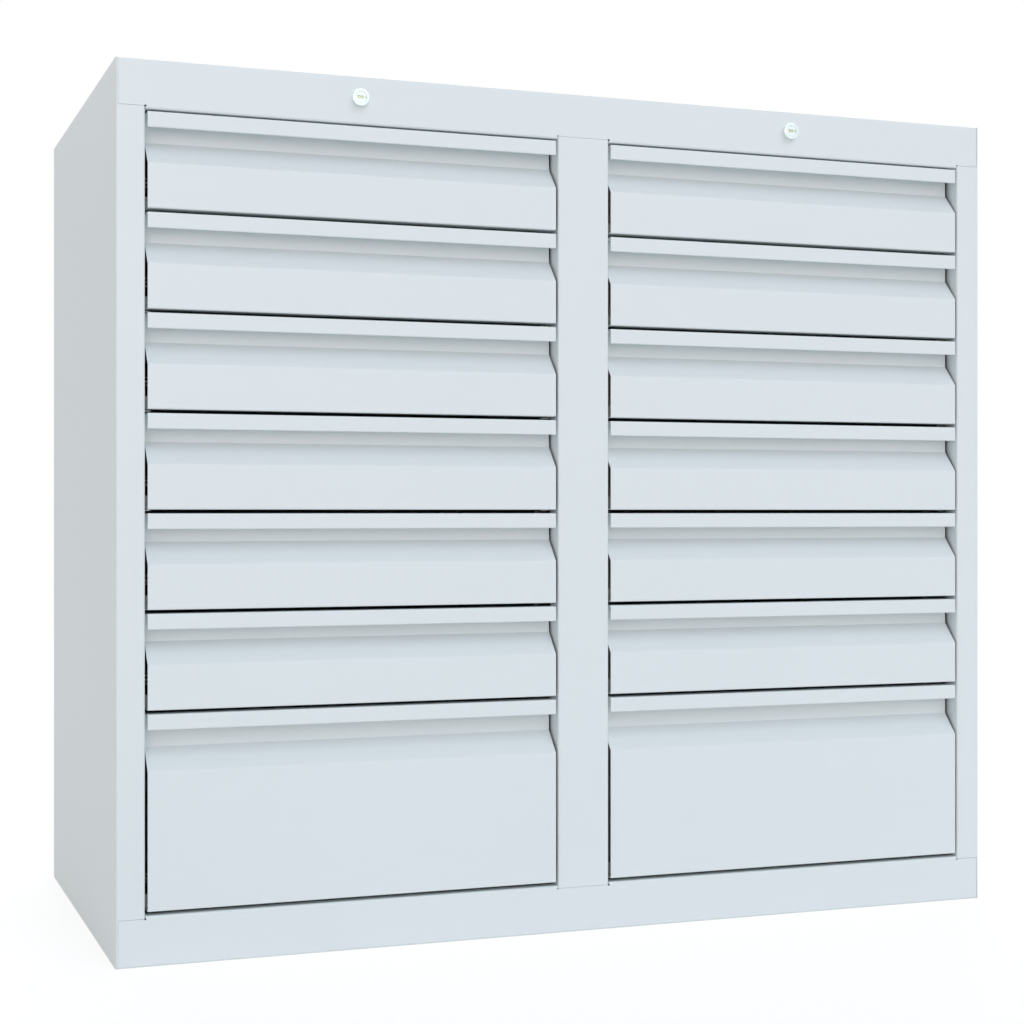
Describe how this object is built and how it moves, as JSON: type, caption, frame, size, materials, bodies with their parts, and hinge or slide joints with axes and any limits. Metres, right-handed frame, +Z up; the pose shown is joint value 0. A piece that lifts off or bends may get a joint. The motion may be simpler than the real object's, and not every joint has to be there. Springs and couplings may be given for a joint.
{
  "type": "microscope slide cabinet",
  "caption": "Steel cabinet with two columns of slide-out drawers, folded finger-grip fronts, shallow rows over a deep one, and a cam lock over each column.",
  "frame": {"origin": "middle of the base, on the floor, half-way between the front plane and the rear edges of the sides", "axes": "+X across the front to the right as seen from the front, +Y from the front to the back, +Z up"},
  "size_m": [1, 0.506, 0.9],
  "materials": {
    "casing_paint": "satin powder coat, fine texture",
    "front_paint": "satin powder coat, fine texture",
    "tray_paint": "satin powder coat",
    "bracket_zinc": "galvanised",
    "slide_zinc": "bright zinc plate",
    "screw_zinc": "bright zinc plate",
    "lock_chrome": "polished"
  },
  "bodies": {
    "casing": {"side_panel_left": "casing_paint", "side_panel_right": "casing_paint", "top_panel": "casing_paint", "bottom_panel": "casing_paint", "back_panel": "casing_paint", "back_panel_screws": "screw_zinc", "centre_mullion": "casing_paint", "centre_partition": "casing_paint", "outer_slide_uprights": "bracket_zinc", "centre_slide_uprights": "bracket_zinc", "slide_outer_members": "slide_zinc", "lock_housings": "lock_chrome", "locking_bar_keepers": "bracket_zinc"},
    "drawer_left_1": {"drawer_front_left_1": "front_paint", "drawer_tray_left_1": "tray_paint"},
    "slide_middles_left_1": {"slide_middles_left_1": "slide_zinc"},
    "drawer_left_2": {"drawer_front_left_2": "front_paint", "drawer_tray_left_2": "tray_paint"},
    "slide_middles_left_2": {"slide_middles_left_2": "slide_zinc"},
    "drawer_left_3": {"drawer_front_left_3": "front_paint", "drawer_tray_left_3": "tray_paint"},
    "slide_middles_left_3": {"slide_middles_left_3": "slide_zinc"},
    "drawer_left_4": {"drawer_front_left_4": "front_paint", "drawer_tray_left_4": "tray_paint"},
    "slide_middles_left_4": {"slide_middles_left_4": "slide_zinc"},
    "drawer_left_5": {"drawer_front_left_5": "front_paint", "drawer_tray_left_5": "tray_paint"},
    "slide_middles_left_5": {"slide_middles_left_5": "slide_zinc"},
    "drawer_left_6": {"drawer_front_left_6": "front_paint", "drawer_tray_left_6": "tray_paint"},
    "slide_middles_left_6": {"slide_middles_left_6": "slide_zinc"},
    "drawer_left_7": {"drawer_front_left_7": "front_paint", "drawer_tray_left_7": "tray_paint"},
    "slide_middles_left_7": {"slide_middles_left_7": "slide_zinc"},
    "lock_plug_left": {"lock_plug_left": "lock_chrome"},
    "locking_bar_left": {"locking_bar_left": "bracket_zinc"},
    "drawer_right_1": {"drawer_front_right_1": "front_paint", "drawer_tray_right_1": "tray_paint"},
    "slide_middles_right_1": {"slide_middles_right_1": "slide_zinc"},
    "drawer_right_2": {"drawer_front_right_2": "front_paint", "drawer_tray_right_2": "tray_paint"},
    "slide_middles_right_2": {"slide_middles_right_2": "slide_zinc"},
    "drawer_right_3": {"drawer_front_right_3": "front_paint", "drawer_tray_right_3": "tray_paint"},
    "slide_middles_right_3": {"slide_middles_right_3": "slide_zinc"},
    "drawer_right_4": {"drawer_front_right_4": "front_paint", "drawer_tray_right_4": "tray_paint"},
    "slide_middles_right_4": {"slide_middles_right_4": "slide_zinc"},
    "drawer_right_5": {"drawer_front_right_5": "front_paint", "drawer_tray_right_5": "tray_paint"},
    "slide_middles_right_5": {"slide_middles_right_5": "slide_zinc"},
    "drawer_right_6": {"drawer_front_right_6": "front_paint", "drawer_tray_right_6": "tray_paint"},
    "slide_middles_right_6": {"slide_middles_right_6": "slide_zinc"},
    "drawer_right_7": {"drawer_front_right_7": "front_paint", "drawer_tray_right_7": "tray_paint"},
    "slide_middles_right_7": {"slide_middles_right_7": "slide_zinc"},
    "lock_plug_right": {"lock_plug_right": "lock_chrome"},
    "locking_bar_right": {"locking_bar_right": "bracket_zinc"}
  },
  "joints": [
    {"name": "drawer_left_1_slide", "type": "slide", "parent": "casing", "child": "drawer_left_1", "axis": [0, -1, 0], "range_m": [0, 0.45]},
    {"name": "slide_middles_left_1_slide", "type": "slide", "parent": "casing", "child": "slide_middles_left_1", "axis": [0, -1, 0], "range_m": [0, 0.225]},
    {"name": "drawer_left_2_slide", "type": "slide", "parent": "casing", "child": "drawer_left_2", "axis": [0, -1, 0], "range_m": [0, 0.45]},
    {"name": "slide_middles_left_2_slide", "type": "slide", "parent": "casing", "child": "slide_middles_left_2", "axis": [0, -1, 0], "range_m": [0, 0.225]},
    {"name": "drawer_left_3_slide", "type": "slide", "parent": "casing", "child": "drawer_left_3", "axis": [0, -1, 0], "range_m": [0, 0.45]},
    {"name": "slide_middles_left_3_slide", "type": "slide", "parent": "casing", "child": "slide_middles_left_3", "axis": [0, -1, 0], "range_m": [0, 0.225]},
    {"name": "drawer_left_4_slide", "type": "slide", "parent": "casing", "child": "drawer_left_4", "axis": [0, -1, 0], "range_m": [0, 0.45]},
    {"name": "slide_middles_left_4_slide", "type": "slide", "parent": "casing", "child": "slide_middles_left_4", "axis": [0, -1, 0], "range_m": [0, 0.225]},
    {"name": "drawer_left_5_slide", "type": "slide", "parent": "casing", "child": "drawer_left_5", "axis": [0, -1, 0], "range_m": [0, 0.45]},
    {"name": "slide_middles_left_5_slide", "type": "slide", "parent": "casing", "child": "slide_middles_left_5", "axis": [0, -1, 0], "range_m": [0, 0.225]},
    {"name": "drawer_left_6_slide", "type": "slide", "parent": "casing", "child": "drawer_left_6", "axis": [0, -1, 0], "range_m": [0, 0.45]},
    {"name": "slide_middles_left_6_slide", "type": "slide", "parent": "casing", "child": "slide_middles_left_6", "axis": [0, -1, 0], "range_m": [0, 0.225]},
    {"name": "drawer_left_7_slide", "type": "slide", "parent": "casing", "child": "drawer_left_7", "axis": [0, -1, 0], "range_m": [0, 0.45]},
    {"name": "slide_middles_left_7_slide", "type": "slide", "parent": "casing", "child": "slide_middles_left_7", "axis": [0, -1, 0], "range_m": [0, 0.225]},
    {"name": "locking_bar_left_drop", "type": "slide", "parent": "casing", "child": "locking_bar_left", "axis": [0, 0, -1], "range_m": [0, 0.0113]},
    {"name": "lock_plug_left_turn", "type": "hinge", "parent": "casing", "child": "lock_plug_left", "pos_m": [-0.25015, -0.25, 0.8777], "axis": [0, 1, 0], "range_deg": [0, 90]},
    {"name": "drawer_right_1_slide", "type": "slide", "parent": "casing", "child": "drawer_right_1", "axis": [0, -1, 0], "range_m": [0, 0.45]},
    {"name": "slide_middles_right_1_slide", "type": "slide", "parent": "casing", "child": "slide_middles_right_1", "axis": [0, -1, 0], "range_m": [0, 0.225]},
    {"name": "drawer_right_2_slide", "type": "slide", "parent": "casing", "child": "drawer_right_2", "axis": [0, -1, 0], "range_m": [0, 0.45]},
    {"name": "slide_middles_right_2_slide", "type": "slide", "parent": "casing", "child": "slide_middles_right_2", "axis": [0, -1, 0], "range_m": [0, 0.225]},
    {"name": "drawer_right_3_slide", "type": "slide", "parent": "casing", "child": "drawer_right_3", "axis": [0, -1, 0], "range_m": [0, 0.45]},
    {"name": "slide_middles_right_3_slide", "type": "slide", "parent": "casing", "child": "slide_middles_right_3", "axis": [0, -1, 0], "range_m": [0, 0.225]},
    {"name": "drawer_right_4_slide", "type": "slide", "parent": "casing", "child": "drawer_right_4", "axis": [0, -1, 0], "range_m": [0, 0.45]},
    {"name": "slide_middles_right_4_slide", "type": "slide", "parent": "casing", "child": "slide_middles_right_4", "axis": [0, -1, 0], "range_m": [0, 0.225]},
    {"name": "drawer_right_5_slide", "type": "slide", "parent": "casing", "child": "drawer_right_5", "axis": [0, -1, 0], "range_m": [0, 0.45]},
    {"name": "slide_middles_right_5_slide", "type": "slide", "parent": "casing", "child": "slide_middles_right_5", "axis": [0, -1, 0], "range_m": [0, 0.225]},
    {"name": "drawer_right_6_slide", "type": "slide", "parent": "casing", "child": "drawer_right_6", "axis": [0, -1, 0], "range_m": [0, 0.45]},
    {"name": "slide_middles_right_6_slide", "type": "slide", "parent": "casing", "child": "slide_middles_right_6", "axis": [0, -1, 0], "range_m": [0, 0.225]},
    {"name": "drawer_right_7_slide", "type": "slide", "parent": "casing", "child": "drawer_right_7", "axis": [0, -1, 0], "range_m": [0, 0.45]},
    {"name": "slide_middles_right_7_slide", "type": "slide", "parent": "casing", "child": "slide_middles_right_7", "axis": [0, -1, 0], "range_m": [0, 0.225]},
    {"name": "locking_bar_right_drop", "type": "slide", "parent": "casing", "child": "locking_bar_right", "axis": [0, 0, -1], "range_m": [0, 0.0113]},
    {"name": "lock_plug_right_turn", "type": "hinge", "parent": "casing", "child": "lock_plug_right", "pos_m": [0.25015, -0.25, 0.8777], "axis": [0, 1, 0], "range_deg": [0, 90]}
  ],
  "couplings": [
    {"joint": "slide_middles_left_1_slide", "follows": "drawer_left_1_slide", "ratio": 0.5},
    {"joint": "slide_middles_left_2_slide", "follows": "drawer_left_2_slide", "ratio": 0.5},
    {"joint": "slide_middles_left_3_slide", "follows": "drawer_left_3_slide", "ratio": 0.5},
    {"joint": "slide_middles_left_4_slide", "follows": "drawer_left_4_slide", "ratio": 0.5},
    {"joint": "slide_middles_left_5_slide", "follows": "drawer_left_5_slide", "ratio": 0.5},
    {"joint": "slide_middles_left_6_slide", "follows": "drawer_left_6_slide", "ratio": 0.5},
    {"joint": "slide_middles_left_7_slide", "follows": "drawer_left_7_slide", "ratio": 0.5},
    {"joint": "lock_plug_left_turn", "follows": "locking_bar_left_drop", "rad_per_m": 138.84},
    {"joint": "slide_middles_right_1_slide", "follows": "drawer_right_1_slide", "ratio": 0.5},
    {"joint": "slide_middles_right_2_slide", "follows": "drawer_right_2_slide", "ratio": 0.5},
    {"joint": "slide_middles_right_3_slide", "follows": "drawer_right_3_slide", "ratio": 0.5},
    {"joint": "slide_middles_right_4_slide", "follows": "drawer_right_4_slide", "ratio": 0.5},
    {"joint": "slide_middles_right_5_slide", "follows": "drawer_right_5_slide", "ratio": 0.5},
    {"joint": "slide_middles_right_6_slide", "follows": "drawer_right_6_slide", "ratio": 0.5},
    {"joint": "slide_middles_right_7_slide", "follows": "drawer_right_7_slide", "ratio": 0.5},
    {"joint": "lock_plug_right_turn", "follows": "locking_bar_right_drop", "rad_per_m": 138.84}
  ]
}
